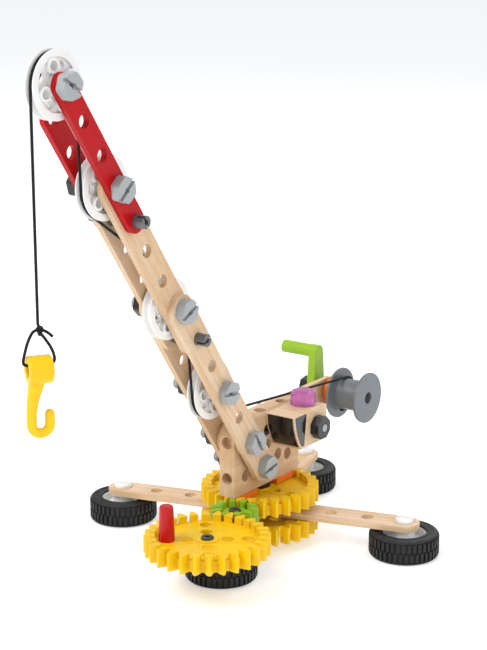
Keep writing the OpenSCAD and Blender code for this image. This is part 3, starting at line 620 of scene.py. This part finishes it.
def rounded(node, radius, material, segments=2, corner=30):
    mesh = frame["nodes"][node].data.copy()
    mesh.name = camel(node)
    work = bmesh.new()
    work.from_mesh(mesh)
    bmesh.ops.remove_doubles(work, verts=work.verts, dist=0.002 * mm)
    bmesh.ops.dissolve_limit(work, angle_limit=math.radians(0.6), verts=work.verts, edges=work.edges)
    work.to_mesh(mesh)
    work.free()
    piece = addPiece(camel(node), mesh, frame["nodes"][node]["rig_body"])
    bevel = piece.modifiers.new("roundedCorner", "BEVEL")
    bevel.width = radius * mm
    bevel.segments = segments
    bevel.limit_method = "ANGLE"
    bevel.angle_limit = math.radians(corner)
    bevel.use_clamp_overlap = True
    applyModifiers(piece)
    shadeByAngle(piece.data, 40)
    weight = piece.modifiers.new("faceWeight", "WEIGHTED_NORMAL")
    weight.keep_sharp = True
    applyModifiers(piece)
    piece.data.materials.clear()
    piece.data.materials.append(plain[material])
    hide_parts(node)
    return piece


keptShapes = [
    (0.5, "longWood", ["long_outrigger"]),
    (0.5, "crossWood", ["cross_outrigger"]),
    (0.5, "boomWood", ["near_lower_strip", "far_middle_strip"]),
    # these two strips take the darker copy of the boom beech, painted shade
    (0.5, "boomWoodPaintedShade", ["near_middle_strip", "far_lower_strip"]),
    (0.5, "redWood", ["near_red_strip", "far_red_strip"]),
    # the tower block takes the beech with painted shade
    (0.7, "blockWood", ["tower_block"]),
    (0.4, "spacerWood", ["block_spacers"]),
    (0.6, "cabWood", ["cab_front", "cab_body"]),
    (0.5, "armWood", ["winch_arm"]),
    (0.4, "yellow", ["upper_gear", "drive_gear", "lower_gear"]),
    (0.3, "green", ["pinion"]),
    (0.6, "green", ["crank"]),
    (0.5, "orange", ["coupling_plates", "spool_washer"]),
    (0.7, "red", ["drive_handle"]),
    (0.35, "white", ["wheel_bolts", "wheel_nuts", "wheel_spacers", "hub_left", "hub_right", "hub_front",
                     "hub_back", "pulley_spacers", "pulley_1", "pulley_2", "pulley_3", "pulley_4"]),
    (0.45, "lightGrey", ["slew_bolt", "boom_bolts", "cab_bolt"]),
    (0.5, "midGrey", ["spool"]),
    (0.3, "pinGrey", ["strip_pins"]),
    (0.3, "darkGrey", ["axle_pins", "arm_pin", "winch_axle"]),
    (0.4, "black", ["slew_nut", "boom_nuts", "cab_nut", "winch_nut"]),
    (0.12, "paint", ["cab_windows"]),
    (0.8, "pink", ["lamp_cap"]),
]
for radius, material, nodes in keptShapes:
    for node in nodes:
        rounded(node, radius, material)
print("kept shapes rounded")

# tyres: a lathed carcass with two rows of staggered tread blocks
tyreSet = {"radius": 23.1, "width": 16.5, "bore": 14.5, "rim": 17.55, "grooveDepth": 1.3, "blocks": 40,
           "rows": [(1.9, 8.0), (8.5, 14.6)], "blockShare": 0.64}


def lathe(work, outline, segments):
    rings = []
    for i in range(segments):
        turn = 2 * math.pi * i / segments
        rings.append([work.verts.new((r * math.cos(turn) * mm, r * math.sin(turn) * mm, z * mm))
                      for r, z in outline])
    for i in range(segments):
        for k in range(len(outline)):
            a, b = rings[i], rings[(i + 1) % segments]
            j = (k + 1) % len(outline)
            work.faces.new((a[k], b[k], b[j], a[j]))


def treadBlock(work, turn, low, high, half):
    inner = tyreSet["radius"] - tyreSet["grooveDepth"] - 0.4
    outer = tyreSet["radius"]
    corners = []
    for r, share, inset in ((inner, 1.0, 0.0), (outer - 0.25, 0.92, 0.12), (outer, 0.72, 0.45)):
        reach = half * share
        for side, z in ((-1, low + inset), (1, low + inset), (1, high - inset), (-1, high - inset)):
            a = turn + side * reach
            corners.append(work.verts.new((r * math.cos(a) * mm, r * math.sin(a) * mm, z * mm)))
    for level in (0, 4):
        for k in range(4):
            n = (k + 1) % 4
            work.faces.new((corners[level + k], corners[level + n], corners[level + 4 + n],
                            corners[level + 4 + k]))
    work.faces.new(corners[8:12])
    work.faces.new(list(reversed(corners[0:4])))


def tyreMesh():
    work = bmesh.new()
    r, w, g = tyreSet["radius"], tyreSet["width"], tyreSet["grooveDepth"]
    lip, rim = tyreSet["bore"], tyreSet["rim"]
    side = [(lip, 0.5), (lip + 0.5, 0.05), (lip + 2.2, 0), (lip + 2.5, 0.35), (r - 4.2, 0.35), (r - 3.9, 0),
            (r - 2.6, 0), (r - 1.3, 0.5), (r - 0.45, 1.4), (r - g, 2.0)]
    outline = (side + [(r - g, w - 2.0)] + [(a, w - z) for a, z in reversed(side[:-1])]
               + [(lip, w - 1.6), (rim, w - 1.6), (rim, 1.6), (lip, 1.6)])
    lathe(work, outline, 120)
    step = 2 * math.pi / tyreSet["blocks"]
    for row, (low, high) in enumerate(tyreSet["rows"]):
        for i in range(tyreSet["blocks"]):
            treadBlock(work, (i + 0.5 * row) * step, low, high, tyreSet["blockShare"] * step / 2)
    return finished(work, "tyre", 30)


tyre = tyreMesh()
tyre.materials.append(plain["rubber"])
for name in ("left", "right", "front", "back"):
    wheelPiece = bpy.data.objects.new("tyre" + name.capitalize(), tyre)
    bpy.context.scene.collection.objects.link(wheelPiece)
    wheelAt = jointAt(f"wheel_{name}_spin")
    wheelPiece.location = (wheelAt.x, wheelAt.y, 0)
    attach(wheelPiece, f"wheel_{name}")
    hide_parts(f"tyre_{name}")
print("tyres made")

# hook: barrel, stem and bowl grown together and smoothed
bowlLine = []
for i in range(hookSet["bowlSteps"] + 1):
    turn = math.pi * (1 + i / hookSet["bowlSteps"])
    across = hookSet["bowl"] * math.cos(turn)
    height = -hookSet["bowlDrop"] + hookSet["bowl"] * math.sin(turn)
    bowlLine.append((across, height, hookSet["wire"]))
hookLine = hookSet["stem"] + bowlLine + hookSet["tip"]
stemPoints = [(x * mm, 0, z * mm) for x, z, r in hookLine]
stemMesh = tubeMesh("hookStem", stemPoints, [r * mm for x, z, r in hookLine], 32)
work = bmesh.new()
work.from_mesh(stemMesh)
barrel, bore, end = hookSet["barrel"], hookSet["bore"], hookSet["halfLength"]
soft, lead = hookSet["barrelCorner"], hookSet["boreCorner"]
barrelOutline = [(bore + lead, -end), (barrel - soft, -end), (barrel, -end + soft), (barrel, end - soft),
                 (barrel - soft, end), (bore + lead, end), (bore, end - lead), (bore, -end + lead)]
barrelWork = bmesh.new()
lathe(barrelWork, barrelOutline, 72)
bmesh.ops.transform(barrelWork, matrix=Matrix.Rotation(quarter, 4, "Y"), verts=barrelWork.verts)
barrelMesh = finished(barrelWork, "hookBarrel")
work.from_mesh(barrelMesh)
bmesh.ops.transform(work, matrix=Matrix.Translation(barrelAt) @ hookTurnAt, verts=work.verts)
hookPiece = addPiece("hook", finished(work, "hook", 60), "hoist")
remesh = hookPiece.modifiers.new("grown", "REMESH")
remesh.mode = "VOXEL"
remesh.voxel_size = hookSet["grain"] * mm
smooth = hookPiece.modifiers.new("smooth", "SMOOTH")
smooth.factor = 0.5
smooth.iterations = 4
applyModifiers(hookPiece)
hookPiece.data.shade_smooth()
hookPiece.data.materials.clear()
hookPiece.data.materials.append(plain["yellow"])
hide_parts("hook")
print("hook grown")

# rolled threads on the free ends of the boom bolts
threadSet = {"pitch": 1.7, "core": 3.9, "crest": 4.25, "sunk": 0.2, "steps": 32, "fadeSteps": 8,
             "rootHalf": 0.55, "crestHalf": 0.15, "nutFace": -20.1,
             "ends": {7: -23.6, 10: -25.6, 12: -25.6, 13: -25.6}}     # boom hole and where its bolt ends
threadRoot = threadSet["core"] - threadSet["sunk"]
threadWork = bmesh.new()
for k, endSide in threadSet["ends"].items():
    hole = boomHole(k)
    turns = (threadSet["nutFace"] - endSide) / threadSet["pitch"]
    count = int(turns * threadSet["steps"])
    ridges = []
    for i in range(count + 1):
        angle = 2 * math.pi * i / threadSet["steps"]
        side = threadSet["nutFace"] - threadSet["pitch"] * i / threadSet["steps"]
        fade = min(1, i / threadSet["fadeSteps"], (count - i) / threadSet["fadeSteps"])
        crest = threadSet["core"] + (threadSet["crest"] - threadSet["core"]) * fade
        ring = []
        for radius, shift in ((threadRoot, threadSet["rootHalf"]), (crest, threadSet["crestHalf"]),
                              (crest, -threadSet["crestHalf"]), (threadRoot, -threadSet["rootHalf"])):
            lean = hole.x + radius * mm * math.cos(angle)
            up = hole.z + radius * mm * math.sin(angle)
            ring.append(threadWork.verts.new(fromCrane(lean, (side + shift) * mm, up)))
        ridges.append(ring)
    for a, b in zip(ridges, ridges[1:]):
        for j in range(4):
            threadWork.faces.new((a[j], a[(j + 1) % 4], b[(j + 1) % 4], b[j]))
    threadWork.faces.new(ridges[0])
    threadWork.faces.new(list(reversed(ridges[-1])))
boltThreads = addPiece("boltThreads", finished(threadWork, "boltThreads"), "superstructure")
boltThreads.data.materials.append(plain["lightGrey"])
print("threads cut")

# studio: a floor that runs to the horizon, and lights with their place, size and power
studioSet = {
    "floorHalf": 40.0, "floor": (0.8, 0.81, 0.815, 1),
    "floorGlow": (0.93, 0.95, 0.96, 1), "glowStrength": 0.4,
    "room": (0.935, 0.94, 0.945, 1), "roomStrength": 0.68, "aim": (0, 0, 0.15),
    "lights": [
        ("keyLight", (-0.9, -1.2, 1.9), 1.1, 33),
        ("fillLight", (1.7, -0.6, 1.0), 1.3, 9),
        ("backLight", (0.3, 1.6, 1.5), 1.2, 14),
    ],
}
floorMesh = bpy.data.meshes.new("studioFloor")
half = studioSet["floorHalf"]
corners = [(-half, -half, 0), (half, -half, 0), (half, half, 0), (-half, half, 0)]
floorMesh.from_pydata(corners, [], [(0, 1, 2, 3)])
floorPiece = bpy.data.objects.new("studioFloor", floorMesh)
bpy.context.scene.collection.objects.link(floorPiece)
floorLook = {"Roughness": 0.9, "Base Color": studioSet["floor"], "Emission Color": studioSet["floorGlow"],
             "Emission Strength": studioSet["glowStrength"]}
floorMesh.materials.append(newMaterial("paleFloor", floorLook)[0])

world = bpy.data.worlds.new("paleRoom")
bpy.context.scene.world = world
world.use_nodes = True
roomInputs = world.node_tree.nodes["Background"].inputs
roomInputs["Color"].default_value = studioSet["room"]
roomInputs["Strength"].default_value = studioSet["roomStrength"]
for name, place, size, power in studioSet["lights"]:
    light = bpy.data.objects.new(name, bpy.data.lights.new(name, "AREA"))
    light.data.size = size
    light.data.energy = power
    light.location = place
    light.rotation_euler = (Vector(studioSet["aim"]) - Vector(place)).to_track_quat("-Z", "Y").to_euler()
    bpy.context.scene.collection.objects.link(light)
bpy.context.scene.view_settings.view_transform = "Standard"
print("studio lit")
